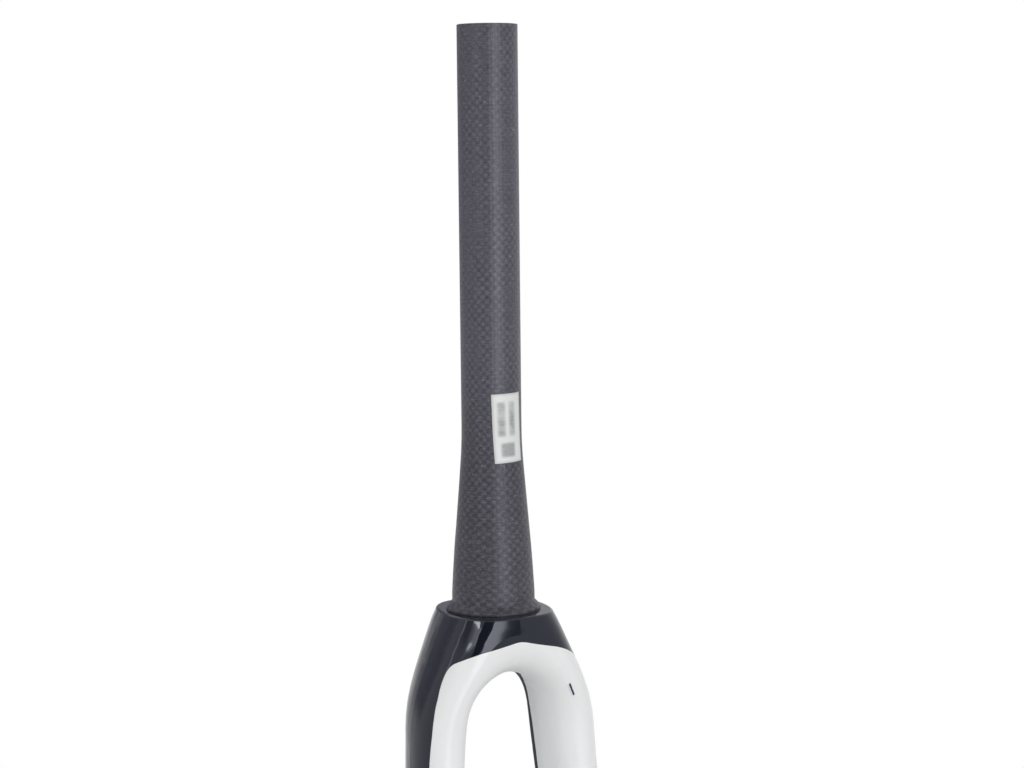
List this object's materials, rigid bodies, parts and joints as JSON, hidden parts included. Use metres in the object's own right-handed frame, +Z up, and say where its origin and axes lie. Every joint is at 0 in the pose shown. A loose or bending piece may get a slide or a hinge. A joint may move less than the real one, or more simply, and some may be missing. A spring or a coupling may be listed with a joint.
{
  "type": "rigid bicycle fork",
  "caption": "One-piece carbon road fork with tapered steerer, arched crown and swept blades, bonded alloy dropouts and a flat disc-brake mount on the left blade.",
  "frame": {"origin": "on the steerer's axis, in the plane of the crown's top", "axes": "+Z up the steerer, -Y forwards (the way the blades sweep), +X to the rider's left, the brake side"},
  "size_m": [0.1246, 0.0888, 0.666],
  "materials": {
    "lacquered_carbon": "carbon moulding: bare satin weave on the steerer, gloss black lacquer on the crown and outer blades, gloss white on the front and inner blades",
    "anodised_alloy": "satin black anodised forging",
    "insert_steel": "turned steel",
    "label_paper": "white paper label with grey fields and no lettering"
  },
  "bodies": {
    "root": {"fork_body": "lacquered_carbon", "left_dropout": "anodised_alloy", "right_dropout": "anodised_alloy", "upper_brake_insert": "insert_steel", "lower_brake_insert": "insert_steel", "steerer_label": "label_paper"}
  },
  "joints": []
}
